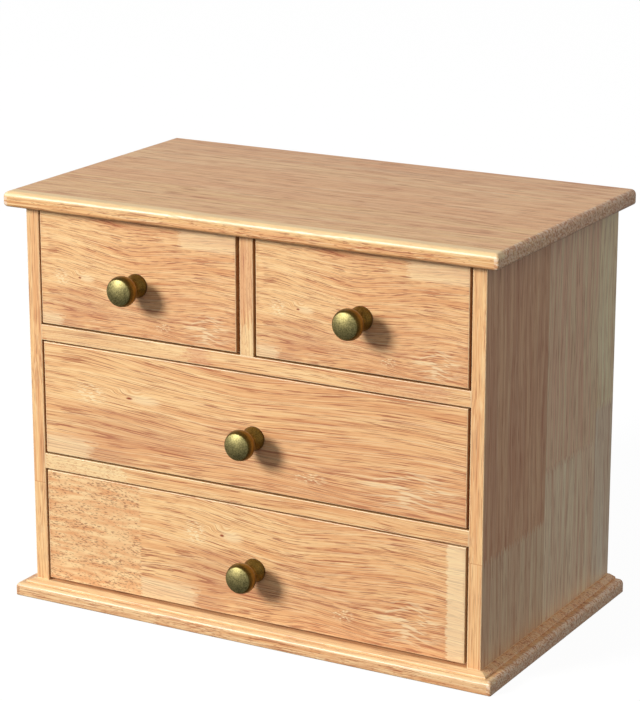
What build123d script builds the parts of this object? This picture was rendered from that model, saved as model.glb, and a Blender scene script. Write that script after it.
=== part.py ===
from build123d import *
import os

# A desk chest with four drawers: two small ones side by side over two wide ones.
# Millimetres. The origin is the centre of the base board's underside, +X is the chest's right,
# -Y is out of its front and +Z is up.

os.makedirs("parts", exist_ok=True)

# ---- driving dimensions ----

body_width = 334.0  # over the two side panels
body_depth = 196.5  # front edge to back edge of a side panel
top_underside = 269.45  # height of the top board's underside
panel_thickness = 9.6
top_thickness = 10.4
base_thickness = 11.65
side_overhang = 11.4  # top and base boards past the side panels
front_overhang = 9.1
back_overhang = 0.8

top_edge_radius = 3.5  # upper roundover of the top board
under_edge_radius = 2.5  # lower roundover of the top board
corner_radius = 1.2  # upright corners of the top and base boards
arris_radius = 0.5  # eased sharp edges

lower_tier_height = 9.05  # base board's moulding: a wide rounded step under a narrow sloping one
lower_tier_radius = 3.0
upper_tier_side_inset = 5.7
upper_tier_front_inset = 4.2
upper_tier_slope_width = 4.4
upper_tier_slope_drop = 1.5
upper_tier_nose_radius = 0.9
base_under_radius = 0.7

front_height = 76.3  # every drawer front
front_recess = 0.2  # drawer fronts behind the side panels' front edges
gap_under_bottom_front = 2.2
gap_under_front = 1.2
gap_over_front = 1.05
gap_right_of_fronts = 1.9  # at the right side panel
wide_front_width = 311.5
small_front_width = 148.7
gap_left_of_small_front = 1.0  # at the left side panel
rail_height = 10.5
rail_depth = 32.0
back_rail_depth = 24.0
divider_thickness = 9.8
runner_width = 12.0
centre_runner_width = 36.0
back_thickness = 3.0
rebate_width = 4.8

front_thickness = 10.0
drawer_side_thickness = 8.0
drawer_side_height = 64.0
drawer_bottom_thickness = 3.0
drawer_edge_radius = 1.2  # eased upper edges of a drawer's sides and back
groove_depth = 3.0
groove_height = 5.0  # lower edge of a drawer side to its groove
lap_depth = 5.0  # how far a drawer side is let into the front
drawer_end_gap = 0.6  # a shut drawer to the back panel

knob_height = 34.35  # knob's axis over the lower edge of its front
small_knob_offset = 82.0  # knob's axis from the middle of the chest
wide_knob_offset = 4.6
# each pair is a radius of the knob and how far out of the drawer front it lies
knob_foot = (7.9, 1.0)
knob_cove = (6.5, 3.4)
knob_neck = (4.4, 8.2)
knob_throat = (5.6, 12.0)
knob_rim_back = (9.3, 13.9)
knob_rim = (10.1, 16.6)
knob_rim_front = (9.6, 19.4)
knob_shoulder = (9.2, 20.7)
knob_face = (8.4, 21.6)  # where the shoulder meets the domed face
knob_length = 23.4
knob_tip_radius = 0.6  # flat left by the turning tool at the end of the dome
knob_hole_depth = 12.0

dowel_radius = 3.0
dowel_length = 20.0
dowel_in_top = 6.0
rail_dowel_radius = 2.5
rail_dowel_length = 16.0
rail_dowel_in_panel = 5.5
dowel_chamfer = 0.6
fit_clearance = 0.05  # all round a dowel, screw or pin in its hole
hole_end_space = 0.5  # past the end of a dowel, screw or pin

wood_screw_radius = 1.8
wood_screw_head_radius = 3.8
wood_screw_length = 32.0
wood_screw_point = 4.0
wood_screw_sink = 0.3  # head below the base board's underside
machine_screw_radius = 2.0
machine_screw_length = 20.0  # under the head
machine_screw_head_radius = 4.0
machine_screw_head_height = 2.6
machine_screw_end_chamfer = 0.5
recess_width = 0.9  # each slot of a screw's cross recess
recess_length = 3.8
recess_depth = 1.4
pin_radius = 0.6
pin_length = 16.0
pin_chamfer = 0.15

# how far each row of fixings lies from the board's end or edge it starts from
top_dowel_inset = 30.0
divider_back_dowel_inset = 40.0
base_screw_inset = 22.0
rail_dowel_insets = (9.0, 23.0)
runner_pin_front_inset = 20.0
runner_pin_back_inset = 40.0
back_pin_inset = 22.0
back_pin_pitch = 53.0
back_pins_per_side = 5
drawer_pin_heights = (18.0, 52.0)

# ---- places worked out from them ----

board_width = body_width + 2 * side_overhang
board_depth = body_depth + front_overhang + back_overhang
front_y = -board_depth / 2 + front_overhang
back_y = board_depth / 2 - back_overhang
back_panel_y = back_y - back_thickness
middle_y = (front_y + back_y) / 2
opening_half = body_width / 2 - panel_thickness
panel_middle_x = opening_half + panel_thickness / 2
total_height = top_underside + top_thickness
board_x = (-board_width / 2, board_width / 2)
board_y = (-board_depth / 2, board_depth / 2)

bottom_front_z = base_thickness + gap_under_bottom_front
lower_rail_z = bottom_front_z + front_height + gap_over_front
middle_front_z = lower_rail_z + rail_height + gap_under_front
upper_rail_z = middle_front_z + front_height + gap_over_front
top_front_z = upper_rail_z + rail_height + gap_under_front
rail_levels = {"upper": upper_rail_z, "lower": lower_rail_z}

runner_front_y = front_y + rail_depth
back_rail_y = back_panel_y - back_rail_depth
drawer_face_y = front_y + front_recess
drawer_inner_y = drawer_face_y + front_thickness
drawer_end_y = back_panel_y - drawer_end_gap
drawer_back_y = drawer_end_y - drawer_side_thickness

# ---- where the carcass fixings go ----

sides = {"left": -1, "right": 1}
top_dowel_rows = (front_y + top_dowel_inset, middle_y, back_y - top_dowel_inset)
top_dowel_points = [(side * panel_middle_x, y) for side in sides.values() for y in top_dowel_rows]
divider_dowel_points = [(0, front_y + top_dowel_inset), (0, back_y - divider_back_dowel_inset)]
base_screw_rows = (front_y + base_screw_inset, middle_y, back_y - base_screw_inset)
base_screw_points = [(side * panel_middle_x, y) for side in sides.values() for y in base_screw_rows]

rail_dowel_rows = [front_y + inset for inset in rail_dowel_insets]
rail_dowel_places = [(y, z + rail_height / 2) for y in rail_dowel_rows for z in rail_levels.values()]
rail_dowel_places.append((back_rail_y + back_rail_depth / 2, upper_rail_z + rail_height / 2))
runner_pin_rows = (runner_front_y + runner_pin_front_inset, middle_y, back_y - runner_pin_back_inset)
runner_pin_places = [(y, z + rail_height / 2) for y in runner_pin_rows for z in rail_levels.values()]
runner_pin_in_panel = pin_length - runner_width
back_pin_x = opening_half + rebate_width / 2
back_pin_z = [base_thickness + back_pin_inset + back_pin_pitch * step for step in range(back_pins_per_side)]


# ---- helpers ----


def box_between(x_range, y_range, z_range, mode=Mode.ADD):
    """Adds or cuts a box, given its two X, Y and Z limits."""
    with BuildSketch(Plane.XY.offset(z_range[0])) as outline:
        with Locations((sum(x_range) / 2, sum(y_range) / 2)):
            Rectangle(abs(x_range[1] - x_range[0]), y_range[1] - y_range[0])
    extrude(outline.sketch, amount=z_range[1] - z_range[0], mode=mode)


def drill(points, outward, radius, depth=None):
    """Drills holes, through or blind, from points on a face whose normal is outward."""
    with Locations([Plane(origin=point, z_dir=outward) for point in points]):
        Hole(radius + fit_clearance, depth)


def cross_recess(face_plane):
    """Cuts a screw's cross recess into the face that the plane lies on."""
    for size in ((recess_length, recess_width), (recess_width, recess_length)):
        with BuildSketch(face_plane) as slot:
            Rectangle(*size)
        extrude(slot.sketch, amount=-recess_depth, mode=Mode.SUBTRACT)


def rods(rows, radius, length, end_chamfer):
    """Makes round rods; each row is a list of points they start at and the way they run."""
    with BuildPart() as group:
        for points, inward in rows:
            with Locations([Plane(origin=point, z_dir=inward) for point in points]):
                Cylinder(radius, length, align=(Align.CENTER, Align.CENTER, Align.MIN))
        chamfer(group.edges().filter_by(GeomType.CIRCLE), end_chamfer)
    return group


def finish(piece, name):
    """Names a finished piece and writes it to its own file."""
    piece.part.label = name
    export_step(piece.part, f"parts/{name}.step")


# ---- top board: rounded above and below, on its front and both ends ----

with BuildPart() as top_board:
    box_between(board_x, board_y, (top_underside, total_height))
    fillet(top_board.edges().filter_by(Axis.Z).group_by(Axis.Y)[0], corner_radius)
    fillet(top_board.faces().sort_by(Axis.Z)[-1].edges().sort_by(Axis.Y)[:-1], top_edge_radius)
    fillet(top_board.faces().sort_by(Axis.Z)[0].edges().sort_by(Axis.Y)[:-1], under_edge_radius)
    holes = [(x, y, top_underside) for x, y in top_dowel_points + divider_dowel_points]
    drill(holes, (0, 0, -1), dowel_radius, dowel_in_top + hole_end_space)
finish(top_board, "top_board")

# ---- base board: a stepped, rounded moulding on its front and both ends ----

with BuildPart() as base_board:
    box_between(board_x, board_y, (0, lower_tier_height))
    fillet(base_board.edges().filter_by(Axis.Z).group_by(Axis.Y)[0], corner_radius)
    fillet(base_board.faces().sort_by(Axis.Z)[-1].edges().sort_by(Axis.Y)[:-1], lower_tier_radius)
    fillet(base_board.faces().sort_by(Axis.Z)[0].edges().sort_by(Axis.Y)[:-1], base_under_radius)
    box_between(
        (board_x[0] + upper_tier_side_inset, board_x[1] - upper_tier_side_inset),
        (board_y[0] + upper_tier_front_inset, board_y[1]),
        (lower_tier_height / 2, base_thickness),
    )
    top_face = base_board.faces().sort_by(Axis.Z)[-1]
    slope_edges = top_face.edges().sort_by(Axis.Y)[:-1]
    chamfer(slope_edges, upper_tier_slope_width, upper_tier_slope_drop, reference=top_face)
    nose_z = base_thickness - upper_tier_slope_drop
    nose_edges = base_board.edges().filter_by_position(Axis.Z, nose_z - 0.01, nose_z + 0.01)
    fillet(nose_edges, upper_tier_nose_radius)
    drill([(x, y, 0) for x, y in base_screw_points], (0, 0, -1), wood_screw_head_radius, wood_screw_sink)
    head_planes = [Plane(origin=(x, y, wood_screw_sink), z_dir=(0, 0, -1)) for x, y in base_screw_points]
    with Locations(head_planes):
        CounterSinkHole(
            wood_screw_radius + fit_clearance, wood_screw_head_radius + fit_clearance, counter_sink_angle=90
        )
finish(base_board, "base_board")


# ---- side panels, rebated at the back for the back panel ----


def side_panel(side):
    """Makes the left panel for side -1 and the right one for side 1."""
    inner_x = side * opening_half
    inward = (-side, 0, 0)
    with BuildPart() as panel:
        box_between((inner_x, side * body_width / 2), (front_y, back_y), (base_thickness, top_underside))
        fillet(panel.edges().filter_by(Axis.Z).group_by(Axis.Y)[0], arris_radius)
        rebate_x = (inner_x, inner_x + side * rebate_width)
        box_between(rebate_x, (back_panel_y, back_y), (base_thickness, top_underside), mode=Mode.SUBTRACT)
        holes = [(x, y, top_underside) for x, y in top_dowel_points if x * side > 0]
        drill(holes, (0, 0, 1), dowel_radius, dowel_length - dowel_in_top + hole_end_space)
        holes = [(x, y, base_thickness) for x, y in base_screw_points if x * side > 0]
        screw_end = wood_screw_sink + wood_screw_length + hole_end_space
        drill(holes, (0, 0, -1), wood_screw_radius, screw_end - base_thickness)
        holes = [(inner_x, y, z) for y, z in rail_dowel_places]
        drill(holes, inward, rail_dowel_radius, rail_dowel_in_panel + hole_end_space)
        holes = [(inner_x, y, z) for y, z in runner_pin_places]
        drill(holes, inward, pin_radius, runner_pin_in_panel + hole_end_space)
        holes = [(side * back_pin_x, back_panel_y, z) for z in back_pin_z]
        drill(holes, (0, 1, 0), pin_radius, pin_length - back_thickness + hole_end_space)
    return panel


for side_name, side in sides.items():
    finish(side_panel(side), f"{side_name}_side_panel")

# ---- back panel: thin plywood in the rebates ----

with BuildPart() as back_panel:
    back_half = opening_half + rebate_width
    box_between((-back_half, back_half), (back_panel_y, back_y), (base_thickness, top_underside))
    holes = [(side * back_pin_x, back_y, z) for side in sides.values() for z in back_pin_z]
    drill(holes, (0, 1, 0), pin_radius)
finish(back_panel, "back_panel")


# ---- rails between the side panels ----


def rail(y_range, z, eased):
    """Makes a rail, with a hole in each end for every dowel that reaches it."""
    with BuildPart() as board:
        box_between((-opening_half, opening_half), y_range, (z, z + rail_height))
        if eased:
            fillet(board.edges().filter_by(Axis.X).group_by(Axis.Y)[0], arris_radius)
        dowels = [
            (dowel_y, dowel_z)
            for dowel_y, dowel_z in rail_dowel_places
            if y_range[0] < dowel_y < y_range[1] and z < dowel_z < z + rail_height
        ]
        for side in sides.values():
            holes = [(side * opening_half, dowel_y, dowel_z) for dowel_y, dowel_z in dowels]
            depth = rail_dowel_length - rail_dowel_in_panel + hole_end_space
            drill(holes, (side, 0, 0), rail_dowel_radius, depth)
    return board


for level, level_z in rail_levels.items():
    finish(rail((front_y, runner_front_y), level_z, eased=True), f"{level}_rail")
finish(rail((back_rail_y, back_panel_y), upper_rail_z, eased=False), "upper_back_rail")

# ---- divider between the two small drawers ----

with BuildPart() as centre_divider:
    divider_x = (-divider_thickness / 2, divider_thickness / 2)
    box_between(divider_x, (front_y, back_panel_y), (upper_rail_z + rail_height, top_underside))
    fillet(centre_divider.edges().filter_by(Axis.Z).group_by(Axis.Y)[0], arris_radius)
    holes = [(x, y, top_underside) for x, y in divider_dowel_points]
    drill(holes, (0, 0, 1), dowel_radius, dowel_length - dowel_in_top + hole_end_space)
finish(centre_divider, "centre_divider")


# ---- runners that carry the drawers behind the rails ----


def side_runner(side, back_end_y, z):
    """Makes a runner that is pinned to a side panel."""
    inner_x = side * (opening_half - runner_width)
    with BuildPart() as runner:
        box_between((inner_x, side * opening_half), (runner_front_y, back_end_y), (z, z + rail_height))
        drill([(inner_x, y, z + rail_height / 2) for y in runner_pin_rows], (-side, 0, 0), pin_radius)
    return runner


for side_name, side in sides.items():
    finish(side_runner(side, back_rail_y, upper_rail_z), f"upper_{side_name}_runner")
    finish(side_runner(side, back_panel_y, lower_rail_z), f"lower_{side_name}_runner")

with BuildPart() as centre_runner:
    centre_runner_x = (-centre_runner_width / 2, centre_runner_width / 2)
    box_between(centre_runner_x, (runner_front_y, back_rail_y), (upper_rail_z, upper_rail_z + rail_height))
finish(centre_runner, "upper_centre_runner")

# ---- carcass fixings, each kind in one group ----

dowel_top_z = top_underside + dowel_in_top
rows = [([(x, y, dowel_top_z) for x, y in top_dowel_points + divider_dowel_points], (0, 0, -1))]
finish(rods(rows, dowel_radius, dowel_length, dowel_chamfer), "top_dowels")

rows = []
for side in sides.values():
    starts = [(side * (opening_half + rail_dowel_in_panel), y, z) for y, z in rail_dowel_places]
    rows.append((starts, (-side, 0, 0)))
finish(rods(rows, rail_dowel_radius, rail_dowel_length, dowel_chamfer), "rail_dowels")

rows = []
for side in sides.values():
    starts = [(side * (opening_half - runner_width), y, z) for y, z in runner_pin_places]
    rows.append((starts, (side, 0, 0)))
finish(rods(rows, pin_radius, pin_length, pin_chamfer), "runner_pins")

rows = [([(side * back_pin_x, back_y, z) for z in back_pin_z], (0, -1, 0)) for side in sides.values()]
finish(rods(rows, pin_radius, pin_length, pin_chamfer), "back_panel_pins")

with BuildPart() as wood_screw:
    with BuildSketch(Plane.XZ):
        with BuildLine():
            Polyline(
                (0, 0),
                (wood_screw_head_radius, 0),
                (wood_screw_radius, wood_screw_head_radius - wood_screw_radius),
                (wood_screw_radius, wood_screw_length - wood_screw_point),
                (0, wood_screw_length),
                close=True,
            )
        make_face()
    revolve(axis=Axis.Z)
    cross_recess(Plane(origin=(0, 0, 0), z_dir=(0, 0, -1)))

with BuildPart() as base_screws:
    with Locations([(x, y, wood_screw_sink) for x, y in base_screw_points]):
        add(wood_screw.part)
finish(base_screws, "base_screws")


# ---- knobs and their screws ----


def turned_knob(x, z):
    """Turns a mushroom knob on a round foot, with a blind hole for its screw."""
    # the profile plane measures the radius along its X and the way out of the drawer along its Y
    profile_plane = Plane(origin=(x, drawer_face_y, z), x_dir=(1, 0, 0), z_dir=(0, 0, -1))
    hole_radius = machine_screw_radius + fit_clearance
    dome_rise = knob_length - knob_face[1]
    dome_radius = (knob_face[0] ** 2 + dome_rise**2) / (2 * dome_rise)
    with BuildPart() as knob:
        with BuildSketch(profile_plane):
            with BuildLine():
                Polyline((hole_radius, 0), (knob_foot[0], 0), knob_foot)
                Spline(knob_foot, knob_cove, knob_neck, knob_throat, knob_rim_back)
                ThreePointArc(knob_rim_back, knob_rim, knob_rim_front)
                ThreePointArc(knob_rim_front, knob_shoulder, knob_face)
                tip = (knob_tip_radius, knob_length)
                RadiusArc(knob_face, tip, -dome_radius)
                Polyline(
                    tip,
                    (0, knob_length),
                    (0, knob_hole_depth),
                    (hole_radius, knob_hole_depth),
                    (hole_radius, 0),
                )
            make_face()
        revolve(axis=Axis((x, drawer_face_y, z), (0, 1, 0)))
    return knob


def knob_screw(x, z):
    """Makes the pan-head screw that holds a knob from inside the drawer."""
    head_plane = Plane(origin=(x, drawer_inner_y, z), z_dir=(0, 1, 0))
    with BuildPart() as screw:
        with BuildSketch(head_plane):
            Circle(machine_screw_head_radius)
        extrude(amount=machine_screw_head_height)
        fillet(screw.edges().sort_by(Axis.Y)[-1], machine_screw_head_height / 2)
        with BuildSketch(head_plane):
            Circle(machine_screw_radius)
        extrude(amount=-machine_screw_length)
        chamfer(screw.edges().sort_by(Axis.Y)[0], machine_screw_end_chamfer)
        cross_recess(head_plane.offset(machine_screw_head_height))
    return screw


# ---- drawers: a solid front on a box of thin boards, with a plywood bottom in grooves ----


def drawer_pieces(x_range, front_z, box_z, knob_x):
    """Makes the pieces of a drawer, given the limits of its front, the lower edges of its front
    and of its box, and its knob's place."""
    left, right = x_range
    box_y = (drawer_inner_y - lap_depth, drawer_end_y)
    box_z_range = (box_z, box_z + drawer_side_height)
    inside_x = (left + drawer_side_thickness, right - drawer_side_thickness)
    panel_x = (inside_x[0] - groove_depth, inside_x[1] + groove_depth)
    panel_y = (drawer_inner_y - groove_depth, drawer_back_y + groove_depth)
    panel_z = (box_z + groove_height, box_z + groove_height + drawer_bottom_thickness)
    knob_z = front_z + knob_height
    pin_places = [
        (y, box_z + height)
        for y in (drawer_inner_y - lap_depth / 2, drawer_back_y + drawer_side_thickness / 2)
        for height in drawer_pin_heights
    ]
    pin_in_end = pin_length - drawer_side_thickness + hole_end_space

    with BuildPart() as front:
        box_between(x_range, (drawer_face_y, drawer_inner_y), (front_z, front_z + front_height))
        fillet(front.faces().sort_by(Axis.Y)[0].edges(), arris_radius)
        lap_y = (box_y[0], drawer_inner_y)
        for edge_x, inside in zip(x_range, inside_x):
            box_between(sorted((edge_x, inside)), lap_y, box_z_range, mode=Mode.SUBTRACT)
        box_between(inside_x, (panel_y[0], drawer_inner_y), panel_z, mode=Mode.SUBTRACT)
        for side, inside in zip(sides.values(), inside_x):
            drill([(inside, *place) for place in pin_places[:2]], (side, 0, 0), pin_radius, pin_in_end)
        drill([(knob_x, drawer_face_y, knob_z)], (0, -1, 0), machine_screw_radius)

    def box_side(outer_x, inner_x, groove_x):
        with BuildPart() as board:
            box_between(sorted((outer_x, inner_x)), box_y, box_z_range)
            upper_edges = board.faces().sort_by(Axis.Z)[-1].edges().filter_by(Axis.Y)
            fillet(upper_edges, drawer_edge_radius)
            box_between(sorted((inner_x, groove_x)), panel_y, panel_z, mode=Mode.SUBTRACT)
            drill([(outer_x, *place) for place in pin_places], (outer_x - inner_x, 0, 0), pin_radius)
        return board

    with BuildPart() as back:
        box_between(inside_x, (drawer_back_y, drawer_end_y), box_z_range)
        upper_edges = back.faces().sort_by(Axis.Z)[-1].edges().filter_by(Axis.X)
        fillet(upper_edges, drawer_edge_radius)
        box_between(inside_x, (drawer_back_y, panel_y[1]), panel_z, mode=Mode.SUBTRACT)
        for side, inside in zip(sides.values(), inside_x):
            drill([(inside, *place) for place in pin_places[2:]], (side, 0, 0), pin_radius, pin_in_end)

    with BuildPart() as bottom:
        box_between(panel_x, panel_y, panel_z)

    pin_rows = [
        ([(edge_x, *place) for place in pin_places], (-side, 0, 0))
        for side, edge_x in zip(sides.values(), x_range)
    ]

    return {
        "front": front,
        "left_side": box_side(left, inside_x[0], panel_x[0]),
        "right_side": box_side(right, inside_x[1], panel_x[1]),
        "back": back,
        "bottom": bottom,
        "pins": rods(pin_rows, pin_radius, pin_length, pin_chamfer),
        "knob": turned_knob(knob_x, knob_z),
        "knob_screw": knob_screw(knob_x, knob_z),
    }


fronts_right_x = opening_half - gap_right_of_fronts
wide_front_x = (fronts_right_x - wide_front_width, fronts_right_x)
small_left_x = gap_left_of_small_front - opening_half
small_front_x = {
    "left": (small_left_x, small_left_x + small_front_width),
    "right": (fronts_right_x - small_front_width, fronts_right_x),
}
upper_box_z = upper_rail_z + rail_height
lower_box_z = lower_rail_z + rail_height
drawers = {
    "top_left_drawer": (small_front_x["left"], top_front_z, upper_box_z, -small_knob_offset),
    "top_right_drawer": (small_front_x["right"], top_front_z, upper_box_z, small_knob_offset),
    "middle_drawer": (wide_front_x, middle_front_z, lower_box_z, wide_knob_offset),
    "bottom_drawer": (wide_front_x, bottom_front_z, base_thickness, wide_knob_offset),
}

for drawer_name, places in drawers.items():
    for piece_name, piece in drawer_pieces(*places).items():
        finish(piece, f"{drawer_name}_{piece_name}")
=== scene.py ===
from math import cos, radians, sin, tan

import bpy
from mathutils import Matrix, Vector


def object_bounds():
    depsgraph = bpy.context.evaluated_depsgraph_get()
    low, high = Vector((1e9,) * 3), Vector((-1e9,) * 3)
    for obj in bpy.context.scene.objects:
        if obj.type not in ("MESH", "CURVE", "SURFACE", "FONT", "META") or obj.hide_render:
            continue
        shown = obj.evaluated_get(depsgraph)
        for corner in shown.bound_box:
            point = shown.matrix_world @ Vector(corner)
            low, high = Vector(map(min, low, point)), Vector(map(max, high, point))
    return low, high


# A desk chest with four drawers, in metres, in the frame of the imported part.
# Its solids keep their shapes; this file gives them wood, metal, a floor, light and a camera.

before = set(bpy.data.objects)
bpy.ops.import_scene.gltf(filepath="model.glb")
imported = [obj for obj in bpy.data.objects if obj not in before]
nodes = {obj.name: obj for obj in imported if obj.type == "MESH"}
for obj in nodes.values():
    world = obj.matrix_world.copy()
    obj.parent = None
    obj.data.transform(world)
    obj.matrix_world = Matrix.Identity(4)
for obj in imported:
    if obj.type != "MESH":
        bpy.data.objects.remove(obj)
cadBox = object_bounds()
millimetre = 0.001
print("frame loaded:", len(nodes), "pieces")


def limits(name):
    # the least and the greatest corner of a piece's box, in millimetres
    corners = [Vector(corner) / millimetre for corner in nodes[name].bound_box]
    return corners[0], corners[6]


class Wire:
    # an output socket of a shader tree; arithmetic on it adds Math nodes
    def __init__(self, tree, socket=None):
        self.tree = tree
        self.socket = socket

    def node(self, kind, settings, inputs, output=0):
        # any node: its settings first, then the values or links of its sockets
        made = self.tree.nodes.new(kind)
        for name, value in settings.items():
            setattr(made, name, value)
        for key, value in inputs.items():
            if isinstance(value, Wire):
                self.tree.links.new(value.socket, made.inputs[key])
            else:
                made.inputs[key].default_value = value
        return Wire(self.tree, made.outputs[output])

    def other(self, output):
        # another output of the same node
        return Wire(self.tree, self.socket.node.outputs[output])

    def math(self, operation, *values):
        return self.node("ShaderNodeMath", {"operation": operation}, dict(enumerate(values)))

    def __add__(self, other):
        return self.math("ADD", self, other)

    def __sub__(self, other):
        return self.math("SUBTRACT", self, other)

    def __rsub__(self, other):
        return self.math("SUBTRACT", other, self)

    def __mul__(self, other):
        return self.math("MULTIPLY", self, other)

    def __truediv__(self, other):
        return self.math("DIVIDE", self, other)

    def __pow__(self, other):
        return self.math("POWER", self, other)

    def __abs__(self):
        return self.math("ABSOLUTE", self)

    __radd__ = __add__
    __rmul__ = __mul__

    def least(self, other):
        return self.math("MINIMUM", self, other)

    def most(self, other):
        return self.math("MAXIMUM", self, other)

    def over(self, edge):
        # 1 above the edge and 0 below it
        return self.math("GREATER_THAN", self, edge)

    def rise(self, start, end):
        # 0 before start, 1 past end, smooth between; it falls where start is the larger
        settings = {"interpolation_type": "SMOOTHSTEP"}
        values = {"Value": self, "From Min": min(start, end), "From Max": max(start, end)}
        values["To Min"], values["To Max"] = (0.0, 1.0) if start < end else (1.0, 0.0)
        return self.node("ShaderNodeMapRange", settings, values)

    def between(self, low, high):
        # low where this wire is 0 and high where it is 1
        return self.node("ShaderNodeMix", {"data_type": "FLOAT"}, {0: self, 2: low, 3: high})

    def mix(self, colour, other):
        # this wire is how much of the other colour lies over the first
        settings = {"data_type": "RGBA", "blend_type": "MIX", "clamp_factor": True}
        return self.node("ShaderNodeMix", settings, {0: self, 6: colour, 7: other}, output=2)

    def point(self, x, y, z):
        return self.node("ShaderNodeCombineXYZ", {}, {0: x, 1: y, 2: z})


def paint(red, green, blue):
    # a screen colour, 0 to 255 a channel, as the shader's linear colour
    linear = []
    for channel in (red, green, blue):
        c = channel / 255
        linear.append(c / 12.92 if c <= 0.04045 else ((c + 0.055) / 1.055) ** 2.4)
    return (*linear, 1.0)


def newMaterial(name, **constants):
    # a material with one Principled shader; constants go straight on its sockets
    material = bpy.data.materials.new(name)
    material.use_nodes = True
    shader = material.node_tree.nodes["Principled BSDF"]
    for key, value in constants.items():
        shader.inputs[key.replace("_", " ")].default_value = value
    return material, shader, Wire(material.node_tree)


def connect(shader, **wires):
    for key, wire in wires.items():
        wire.tree.links.new(wire.socket, shader.inputs[key.replace("_", " ")])


def dress(material, names):
    for name in names:
        for slot in nodes[name].material_slots:
            slot.material = material


def axes(w):
    # the place on the piece, in millimetres
    place = w.node("ShaderNodeTexCoord", {}, {}, "Object")
    split = w.node("ShaderNodeSeparateXYZ", {}, {0: place})
    return [part / millimetre for part in (split, split.other(1), split.other(2))]


def spot(p, q, middle, size):
    # 1 in the middle of an ellipse, falling smoothly to 0 at its edge
    across = (p - middle[0]) / size[0]
    along = (q - middle[1]) / size[1]
    return (across * across + along * along).rise(1, 0)


def edgeDistance(place, box):
    # on the surface of a box the nearest face is at hand, so the second nearest tells the edge
    gaps = []
    for value, low, high in zip(place, *box):
        gaps.append((high - low) / 2 - abs(value - (low + high) / 2))
    first, second, third = gaps
    return first.least(second).most(first.most(second).least(third))


# the wood: honey-tan open-grained boards, glued up from narrow staves

tones = {
    "light": paint(252, 207, 146),
    "warm": paint(240, 182, 124),
    "pink": paint(224, 164, 122),
    "pale": paint(255, 231, 183),
    "cream": paint(255, 228, 172),
    "brown": paint(190, 106, 60),
    "vessel": paint(150, 62, 26),
    # painted shade, darkening the gaps between parts and the bottom edges
    "paintedShade": paint(138, 92, 34),
    "dusk": paint(184, 122, 92),
    "endGrain": paint(250, 228, 204),
    "pore": paint(132, 62, 30),
}

# each layer of the grain: length and width of its features in millimetres, the step from the
# board's seed, then the noise's detail and, where given, its roughness
layers = {
    "drift": (130, 30, 0, 1.0),
    "bands": (150, 4.5, 1, 3.0),
    "lines": (95, 0.85, 2, 2.0),
    "streaks": (80, 0.55, 3, 2.0, 0.6),
    "fibres": (9, 0.28, 4, 1.0),
    "crowded": (50, 4.5, 5, 1.0),
    "vessels": (22, 0.48, 6, 1.0),
}
shares = {
    "lines": 0.2,
    "crowdedLines": 0.5,
    "streaks": 0.34,
    "paleStreaks": 0.5,
    "fibres": 0.15,
    "vessels": 0.7,
}
lacquer = {"gloss": 0.34, "coat": 0.15, "coatRoughness": 0.25, "bump": 0.25, "bumpHeight": 0.00005}


def noise(s, t, d, length, width, seed, detail=2.0, roughness=0.5):
    # noise drawn out along the grain, spread over 0 to 1
    place = s.point(s / length + seed, t / width + seed * 1.7, d / width - seed)
    values = {"Vector": place, "Scale": 1.0, "Detail": detail, "Roughness": roughness}
    return s.node("ShaderNodeTexNoise", {"noise_dimensions": "3D"}, values).rise(0.28, 0.72)


def layer(name, s, t, d, seed):
    length, width, step, *fineness = layers[name]
    return noise(s, t, d, length, width, seed + step, *fineness)


def grain(s, t, d, seed, tint=0.5, crowd=0.5, depth=1.0, light=tones["light"], warm=tones["warm"]):
    # colour and relief of wood: s along the grain, t across it, d into the board, in millimetres;
    # tint is the share of the warm tone, crowd the share of the wood with many vessel lines and
    # depth the strength of the whole figure
    t = t + layer("drift", s, t, d, seed) * 4
    bands = layer("bands", s, t, d, seed)
    lines = layer("lines", s, t, d, seed).rise(0.52, 0.95)
    streaks = layer("streaks", s, t, d, seed)
    fibres = layer("fibres", s, t, d, seed)
    crowded = layer("crowded", s, t, d, seed) + crowd - 0.5
    vessels = layer("vessels", s, t, d, seed) + crowded * 0.25
    marks = vessels.rise(0.84, 1.06)
    lineShare = crowded.rise(0.0, 1.0) * shares["crowdedLines"] + shares["lines"]
    colour = (bands + tint - 0.5).rise(0.0, 1.0).mix(light, warm)
    colour = (lines * lineShare * depth).mix(colour, tones["brown"])
    colour = (streaks.rise(0.5, 1.0) * shares["streaks"] * depth).mix(colour, tones["brown"])
    colour = (streaks.rise(0.45, 0.0) * shares["paleStreaks"] * depth).mix(colour, tones["pale"])
    colour = (fibres.rise(0.5, 1.0) * shares["fibres"] * depth).mix(colour, tones["brown"])
    colour = (marks * shares["vessels"] * depth).mix(colour, tones["vessel"])
    relief = fibres * 0.3 + streaks * 0.3 - marks * 0.7
    return colour, relief, marks


def seal(shader, colour, relief, marks, gloss=lacquer["gloss"], coat=lacquer["coat"]):
    # thin satin lacquer: the pores stay rough and a little sunk
    roughness = marks * 0.2 + relief * 0.06 + gloss
    values = {"Strength": lacquer["bump"], "Distance": lacquer["bumpHeight"], "Height": relief}
    bump = colour.node("ShaderNodeBump", {}, values)
    connect(shader, Base_Color=colour, Roughness=roughness, Normal=bump)
    shader.inputs["Coat Weight"].default_value = coat
    shader.inputs["Coat Roughness"].default_value = lacquer["coatRoughness"]


def edgeHighlight(colour, place, box, seed):
    # edges painted paler, a painted highlight where the arrises catch light, with a darker band beside
    # them
    edge = edgeDistance(place, box)
    patches = noise(*place, 12, 5, seed)
    colour = (edge.rise(2.6, 0.6) * patches * 0.25).mix(colour, tones["brown"])
    return (edge.rise(0.9, 0.1) * (patches * 0.5 + 0.3)).mix(colour, tones["pale"])


def gapShade(y, front):
    # the first few millimetres behind the front face, where they show in the gaps and get painted shade
    return y.rise(front + 0.5, front + 1.2) * y.rise(front + 16, front + 6)


# the drawer fronts carry one picture, cut from it in four ways: p runs along it and q up it,
# from start and foot at a front's lower left corner, along and up millimetres to each of its own

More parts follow.
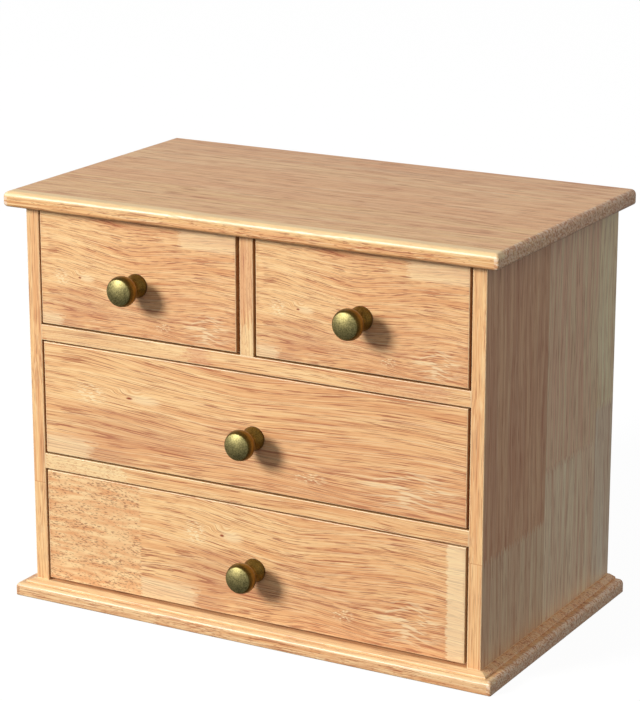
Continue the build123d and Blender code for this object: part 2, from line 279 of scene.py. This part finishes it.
smallCut = {"start": 1.6, "along": 2.128, "foot": 2.64, "up": 1.29, "strip": 0.0}
fronts = {
    "top_left_drawer": smallCut,
    "top_right_drawer": smallCut,
    "middle_drawer": {"start": 0.0, "along": 1.0, "foot": 0.0, "up": 1.0, "strip": 0.0},
    "bottom_drawer": {"start": -139.3, "along": 1.511, "foot": 0.7, "up": 0.86, "strip": 1.0},
}
frontSeed = 3.0

# the middle and the size of each spot in the picture
figure = {
    "knot": ((67, 46.5), (20, 7)),
    "knotHeart": ((66.5, 46.8), (3.2, 1.0)),
    "besideKnot": ((78, 47), (16, 4)),
    "leftFlecks": ((36, 46), (16, 9)),
    "rightFlecks": ((200, 14.2), (16, 5)),
    "waves": ((272, 17), (46, 17)),
    "footDusk": ((52, 4), (26, 9)),
    "leftDusk": ((64, 24), (70, 18)),
    "crack": ((226, 85.5), (12, 0.8)),
}
knotHeight = figure["knot"][0][1]


def frontWood(name, cut):
    material, shader, w = newMaterial(name + " front wood")
    x, y, z = axes(w)
    box = limits(name + "_front")
    p = (x - box[0].x) * cut["along"] + cut["start"]
    q = (z - box[0].z) * cut["up"] + cut["foot"]
    # the grain parts round the knot and dips by up to 7 mm about p = 150
    knot = spot(p, q, *figure["knot"])
    dip = p.math("EXPONENT", ((p - 150) / 80) ** 2 * -1) * q.rise(12, 42) * 7
    t = q + dip + p * 0.012 + knot * (q - knotHeight).rise(-3, 3) * 3
    pink = p.rise(90, 220) * 0.2 + q.rise(52, 18) * p.rise(-20, 60) * 0.3
    yellow = p.rise(130, 50) * q.rise(35, 62)
    crowd = p.rise(60, 200) * 0.2 + q.rise(50, 20) * 0.35
    colour, relief, marks = grain(p, t, y, frontSeed, pink + 0.38 - yellow * 0.3, crowd + 0.3)
    colour = (pink * 0.3).mix(colour, tones["pink"])
    ragged = noise(p, q, y, 9, 0.8, 21.0, 1.0) * 12
    colour = paleMarks(p, q, y, ragged, colour)
    colour = darkMarks(p, q, colour)
    colour, marks = jointedBoards(p, q, y, cut, ragged, colour, marks)
    colour = edgeHighlight(colour, (x, y, z), box, 5.0)
    # painted shade on the front's sides deeper than its face, where they show in the gaps
    colour = (y.rise(box[0].y + 0.5, box[0].y + 1.4) * 0.3).mix(colour, tones["paintedShade"])
    seal(shader, colour, relief, marks)
    return material


def paleMarks(p, q, y, ragged, colour):
    # flecks, wavy streaks and two ragged patches of sapwood
    flecks = noise(p, q, y, 5, 1.0, 31.0, 2.0).rise(0.55, 0.8)
    waves = noise(p, q + (p / 9).math("SINE", p / 9) * 1.5, y, 20, 1.6, 33.0, 2.0).rise(0.45, 0.75)
    pale = spot(p, q, *figure["leftFlecks"]) * flecks
    pale = pale.most(spot(p, q, *figure["rightFlecks"]) * flecks)
    pale = pale.most(spot(p, q, *figure["waves"]) * waves * 0.75)
    pale = pale.most(spot(p, q, *figure["besideKnot"]) * 0.6)
    foot = (p + ragged).rise(43, 40) * q.rise(14, 12) * p.over(-30)
    head = (p - ragged).rise(222, 225) * q.rise(83.5, 85)
    pale = (pale * 0.8).most(foot * 0.42).most(head * 0.34)
    return pale.mix(colour, tones["pale"])


def darkMarks(p, q, colour):
    # two dusky areas, the heart of the knot and a fine crack
    dusk = (spot(p, q, *figure["footDusk"]) * 0.35).most(spot(p, q, *figure["leftDusk"]) * 0.22)
    colour = dusk.mix(colour, tones["dusk"])
    heart = spot(p, q, *figure["knotHeart"])
    crack = spot(p, q, *figure["crack"]) * 0.8
    return heart.most(crack).mix(colour, tones["vessel"])


def jointedBoards(p, q, y, cut, ragged, colour, marks):
    # a porous board finger-jointed on at the left, and a pale strip at the right
    teeth = q.math("PINGPONG", q, 0.8) * 5
    joint = (p - teeth).rise(-30, -31.5)
    rows = noise(p, q, y, 40, 5, 42.0, 2.0)
    pores = (noise(p, q, y, 4.0, 0.55, 41.0, 1.0) + rows * 0.3).rise(0.9, 1.08)
    board = noise(p, q, y, 26, 2.6, 43.0, 3.0).mix(paint(228, 166, 112), paint(250, 212, 156))
    board = (pores * 0.62).mix(board, tones["pore"])
    colour = joint.mix(colour, board)
    strip = (p + ragged * 0.3).rise(313, 315) * cut["strip"]
    colour = (strip * 0.55).mix(colour, tones["pale"])
    return colour, marks.most(pores * joint)


for name, cut in fronts.items():
    dress(frontWood(name, cut), [name + "_front"])
print("drawer fronts ready")


def staves(t, seams):
    # which stave this is, counted from 0, and how dark its glue line is here
    index = t.over(seams[0])
    line = abs(t - seams[0])
    for seam in seams[1:]:
        index = index + t.over(seam)
        line = line.least(abs(t - seam))
    return index, line.rise(0.35, 0.1)


def pick(index, colours):
    # the colour that stands at this index of the list
    colour = colours[0]
    for place, other in enumerate(colours[1:]):
        colour = index.over(place + 0.5).mix(colour, other)
    return colour


# seams run along x at these y; bright is the height, from z to z, of a painted highlight where the front
# edge catches light
slabs = {
    "top_board": {
        "seams": (-33, 31, 66),
        "tones": [paint(244, 197, 132), paint(240, 186, 126), paint(242, 196, 138), paint(226, 176, 122)],
        "seed": 7.0,
        "bright": (275.5, 277.5),
        "brightShare": 0.6,
    },
    "base_board": {
        "seams": (-52, 8),
        "tones": [paint(244, 200, 146), paint(240, 194, 140), paint(246, 204, 152)],
        "seed": 9.0,
        "bright": (6.2, 7.6),
        "brightShare": 0.3,
    },
}


def slabWood(name, slab):
    # grain along x, staves side by side along y; the rounded ends show end grain
    material, shader, w = newMaterial(name + " wood")
    x, y, z = axes(w)
    low, high = limits(name)
    seed = slab["seed"]
    index, line = staves(y, slab["seams"])
    light = pick(index, slab["tones"])
    colour, relief, marks = grain(x + index * 413, y + index * 29, z, seed, 0.4, 0.45, light=light)
    colour = (line * 0.4).mix(colour, tones["brown"])
    end = abs(x).rise(high.x - 3.4, high.x - 2.6)
    ticks = noise(x, y, z, 6, 1.1, seed + 8, 2.0)
    colour = (end * ticks.rise(0.5, 0.9) * 0.45).mix(colour, tones["vessel"])
    colour = (end * ticks.rise(0.7, 0.1) * 0.7).mix(colour, tones["endGrain"])
    pits = noise(x, y, z, 4.5, 0.7, seed + 9, 1.0).rise(0.9, 0.98)
    colour = (y.rise(low.y + 3.5, low.y + 2.5) * pits * 0.5).mix(colour, tones["vessel"])
    # a painted highlight on the rounded front edge
    bright = y.rise(-93.2, -94.6) * z.rise(*slab["bright"])
    colour = (bright * slab["brightShare"]).mix(colour, tones["cream"])
    colour = edgeHighlight(colour, (x, y, z), (low, high), seed)
    # painted shade along the lowest millimetre of the board and its underside, a dark line at the bottom
    # edge
    colour = (z.rise(low.z + 1.3, low.z + 0.2) * 0.45).mix(colour, tones["paintedShade"])
    seal(shader, colour, relief, marks, coat=0.05)
    return material


for name, slab in slabs.items():
    dress(slabWood(name, slab), [name])
print("top and base ready")

# the side panels: seams upright at these y, one joint height and two cells, lower then upper, to
# each stave, and a light and a warm tone to each cell
panel = {
    "seams": (-4, 74),
    "joints": (78.2, 111.7, 132.7),
    "seed": 11.0,
    "innerFace": 157.4,
    "tones": [
        (paint(240, 212, 168), paint(226, 182, 140)),
        (paint(238, 190, 140), paint(212, 154, 110)),
        (paint(255, 234, 192), paint(246, 208, 168)),
        (paint(246, 220, 174), paint(244, 194, 154)),
        (paint(246, 232, 200), paint(238, 212, 176)),
        (paint(255, 244, 198), paint(252, 226, 176)),
    ],
}


def panelWood(name):
    # upright staves side by side along y, each of two lengths with a finger joint between them
    material, shader, w = newMaterial(name + " wood")
    x, y, z = axes(w)
    box = limits(name)
    front = box[0].y
    index, line = staves(y, panel["seams"])
    first, second, third = panel["joints"]
    height = index.over(0.5).between(first, second)
    height = index.over(1.5).between(height, third)
    teeth = y.math("PINGPONG", y, 1.9) * 3
    rise = z - height - teeth
    cell = index * 2 + rise.over(0)
    edge = y.rise(front + 1.2, front + 0.3)
    light = edge.mix(pick(cell, [pair[0] for pair in panel["tones"]]), tones["light"])
    warm = edge.mix(pick(cell, [pair[1] for pair in panel["tones"]]), tones["warm"])
    s = z + cell * 211
    t = y + cell * 17
    colour, relief, marks = grain(s, t, x, panel["seed"], 0.5, 0.45, 0.7, light=light, warm=warm)
    colour = ((abs(rise).rise(0.35, 0.15) + line) * 0.55).mix(colour, tones["brown"])
    colour = edgeHighlight(colour, (x, y, z), box, panel["seed"])
    # painted shade on the inner face just behind the front, where it shows in the gaps beside the drawers
    inner = abs(x).rise(panel["innerFace"] + 0.4, panel["innerFace"]) * gapShade(y, front)
    colour = (inner * 0.6).mix(colour, tones["paintedShade"])
    seal(shader, colour, relief, marks)
    return material


for name in ("left_side_panel", "right_side_panel"):
    dress(panelWood(name), [name])
print("side panels ready")


# patches are (middle, half length, share, colour) along the grain
rails = {
    "upper_rail": {
        "along": "x",
        "seed": 13.0,
        "patches": [
            (-101, 56, 0.25, tones["cream"]),
            (-37, 8, 0.5, tones["pink"]),
            (111, 31, 0.35, tones["pink"]),
        ],
    },
    "lower_rail": {"along": "x", "seed": 14.0, "patches": [(-126, 32, 0.6, tones["cream"])]},
    "centre_divider": {
        "along": "z",
        "seed": 15.0,
        "patches": [(196, 15, 0.4, tones["cream"]), (240, 22, 0.35, tones["pink"])],
    },
}


def railWood(name, rail):
    # a rail or divider between the drawers, with speckled patches
    material, shader, w = newMaterial(name + " wood")
    x, y, z = axes(w)
    box = limits(name)
    seed = rail["seed"]
    s, t = {"x": (x, z), "z": (z, x)}[rail["along"]]
    colour, relief, marks = grain(s, t, y, seed, 0.4, 0.45)
    ragged = noise(s, t, y, 8, 1.2, seed + 8, 1.0) * 8 - 4
    speckles = noise(s, t, y, 2.4, 0.7, seed + 9, 1.0).rise(0.75, 0.9)
    for middle, half, share, other in rail["patches"]:
        inside = abs(s + ragged - middle).rise(half + 1.5, half - 1.5)
        colour = (inside * share).mix(colour, other)
        colour = (inside * speckles * share * 0.7).mix(colour, tones["brown"])
    colour = edgeHighlight(colour, (x, y, z), box, seed)
    # painted shade behind the rail's front face, where it shows in the gaps
    colour = (gapShade(y, box[0].y) * 0.6).mix(colour, tones["paintedShade"])
    seal(shader, colour, relief, marks)
    return material


for name, rail in rails.items():
    dress(railWood(name, rail), [name])


def stickWood(name, along, seed, gloss=lacquer["gloss"], **look):
    # a plain stick, board or sheet; its grain runs along the named axis
    material, shader, w = newMaterial(name)
    x, y, z = axes(w)
    s, t, d = {"x": (x, z, y), "y": (y, z, x), "z": (z, x, y), "sheet": (x, y, z)}[along]
    colour, relief, marks = grain(s, t, d, seed, **look)
    seal(shader, colour, relief, marks, gloss)
    return material


def ending(*words):
    return [name for name in nodes if name.endswith(words)]


drawerLook = {"light": paint(242, 212, 162), "warm": paint(230, 190, 140), "depth": 0.8}
veneer = {"light": paint(244, 218, 174), "warm": paint(233, 198, 150), "depth": 0.6, "gloss": 0.5}
dress(stickWood("runner wood", "y", 17.0), ending("_runner") + ["upper_back_rail"])
drawerSides = ending("drawer_left_side", "drawer_right_side")
dress(stickWood("drawer side wood", "y", 19.0, **drawerLook), drawerSides)
dress(stickWood("drawer back wood", "x", 21.0, **drawerLook), ending("drawer_back"))
dress(stickWood("back panel plywood", "z", 23.0, **veneer), ["back_panel"])
dress(stickWood("drawer bottom plywood", "sheet", 23.0, **veneer), ending("_bottom"))
dress(stickWood("dowel wood", "z", 25.0), ["top_dowels"])
dress(stickWood("rail dowel wood", "x", 27.0), ["rail_dowels"])
print("other wood ready")

# distances out of the drawer front, in millimetres, over which each band of the knob comes or goes
knob = {
    "foot": (1.6, 0.2),
    "neckEnd": (6.0, 11.0),
    "backEnd": (19.2, 18.2),
    "ringStart": (18.8, 19.6),
    "ringEnd": (21.6, 21.0),
    "face": (21.0, 21.8),
}


def brass(name):
    # aged brass, turned: dark and mottled, rubbed brighter on the face, darker at the foot; the warm band
    # on the back of the head and the dark ring on the shoulder are painted reflections
    material, shader, w = newMaterial(name + " brass", Metallic=1.0)
    x, y, z = axes(w)
    low, high = limits(name)
    across = x - (low.x + high.x) / 2
    upward = z - (low.z + high.z) / 2
    radius = (across * across + upward * upward) ** 0.5
    out = high.y - y
    mottle = noise(x, y, z, 0.7, 0.7, 3.0, 3.0, 0.7)
    clouds = noise(x, y, z, 3.5, 3.5, 5.0, 2.0)
    turned = noise(radius, y, z, 0.25, 50, 7.0, 1.0)
    face = out.rise(*knob["face"])
    back = out.rise(*knob["backEnd"]) * out.rise(*knob["neckEnd"])
    darkReflection = out.rise(*knob["ringStart"]) * out.rise(*knob["ringEnd"])
    colour = (mottle * 0.7 + clouds * 0.3).mix(paint(74, 60, 24), paint(158, 128, 62))
    colour = (face * 0.8).mix(colour, mottle.mix(paint(104, 98, 60), paint(182, 172, 118)))
    # painted reflection of the warm wooden front on the back of the head
    colour = (back * 0.45).mix(colour, paint(152, 120, 58))
    # painted dark reflection in a ring on the shoulder
    colour = (darkReflection * 0.55).mix(colour, paint(66, 56, 26))
    colour = (out.rise(*knob["foot"]) * 0.5).mix(colour, paint(58, 48, 20))
    roughness = mottle * 0.18 + clouds * 0.06 + face * 0.06 + 0.3
    relief = mottle * 0.6 + turned * 0.4
    bump = w.node("ShaderNodeBump", {}, {"Strength": 0.2, "Distance": 0.00015, "Height": relief})
    connect(shader, Base_Color=colour, Roughness=roughness, Normal=bump)
    return material


def steel():
    # zinc-plated steel, a little clouded
    material, shader, w = newMaterial("zinc steel", Metallic=1.0)
    x, y, z = axes(w)
    clouds = noise(x, y, z, 1.6, 1.6, 9.0, 3.0)
    colour = clouds.mix(paint(188, 190, 190), paint(214, 212, 204))
    bump = w.node("ShaderNodeBump", {}, {"Strength": 0.15, "Distance": 0.0001, "Height": clouds})
    connect(shader, Base_Color=colour, Roughness=clouds * 0.12 + 0.28, Normal=bump)
    return material


for name in ending("knob"):
    dress(brass(name), [name])
dress(steel(), ending("_pins", "_screw", "_screws"))
print("metal ready")

white = (1, 1, 1, 1)
floorLook = {"size": 30.0, "colour": (0.08, 0.08, 0.08, 1), "roughness": 0.9, "glow": 0.95}
keyLight = {"azimuth": 32, "elevation": 24, "distance": 5.0, "spread": 17, "power": 245}
# strength below and above the horizon, for soft light and for reflections
surround = {"soft": (0.04, 0.42), "reflected": (0.1, 0.6), "horizon": (-0.9, 0.5)}
camera = {
    "azimuth": 29.376,
    "elevation": 15.736,
    "place": (0.825556, -1.466421, 0.645628),
    "lens": 135.64,
    "clipEnd": 100,
}


def makeFloor():
    mesh = bpy.data.meshes.new("floor")
    half = floorLook["size"] / 2
    corners = [(-half, -half, 0), (half, -half, 0), (half, half, 0), (-half, half, 0)]
    mesh.from_pydata(corners, [], [(0, 1, 2, 3)])
    floor = bpy.data.objects.new("floor", mesh)
    bpy.context.scene.collection.objects.link(floor)
    look = {"Base_Color": floorLook["colour"], "Roughness": floorLook["roughness"]}
    look.update(Specular_IOR_Level=0.0, Emission_Color=white, Emission_Strength=floorLook["glow"])
    mesh.materials.append(newMaterial("pale floor", **look)[0])
    floor.visible_diffuse = False
    floor.visible_glossy = False


def makeKeyLight(target):
    # a round soft box; azimuth is counted from straight in front, towards the chest's left
    a, e = radians(keyLight["azimuth"]), radians(keyLight["elevation"])
    away = Vector((-sin(a) * cos(e), -cos(a) * cos(e), sin(e)))
    lamp = bpy.data.lights.new("key light", "AREA")
    lamp.shape = "DISK"
    lamp.size = 2 * keyLight["distance"] * tan(radians(keyLight["spread"] / 2))
    lamp.energy = keyLight["power"]
    light = bpy.data.objects.new("key light", lamp)
    light.location = target + away * keyLight["distance"]
    light.rotation_euler = away.to_track_quat("Z", "Y").to_euler()
    bpy.context.scene.collection.objects.link(light)


def makeWorld():
    # light from all round; white where the camera sees it
    world = bpy.data.worlds.new("studio")
    bpy.context.scene.world = world
    world.use_nodes = True
    background = world.node_tree.nodes["Background"]
    w = Wire(world.node_tree)
    away = w.node("ShaderNodeNewGeometry", {}, {}, "Incoming")
    height = w.node("ShaderNodeSeparateXYZ", {}, {0: away}, "Z") * -1
    ray = w.node("ShaderNodeLightPath", {}, {}, "Is Camera Ray")
    upper = height.rise(*surround["horizon"])
    soft = upper.between(*surround["soft"])
    reflected = upper.between(*surround["reflected"])
    strength = ray.between(ray.other("Is Glossy Ray").between(soft, reflected), 1.0)
    world.node_tree.links.new(strength.socket, background.inputs["Strength"])
    background.inputs["Color"].default_value = white


def makeCamera():
    a, e = radians(camera["azimuth"]), radians(camera["elevation"])
    back = Vector((sin(a) * cos(e), -cos(a) * cos(e), sin(e)))
    right = Vector((cos(a), sin(a), 0))
    up = back.cross(right)
    data = bpy.data.cameras.new("camera")
    data.lens = camera["lens"]
    data.clip_end = camera["clipEnd"]
    seen = bpy.data.objects.new("camera", data)
    turn = Matrix((right, up, back)).transposed().to_4x4()
    seen.matrix_world = Matrix.Translation(camera["place"]) @ turn
    bpy.context.scene.collection.objects.link(seen)
    bpy.context.scene.camera = seen


makeFloor()
makeKeyLight((cadBox[0] + cadBox[1]) / 2)
makeWorld()
makeCamera()
bpy.context.scene.view_settings.view_transform = "Standard"
print("stage ready")
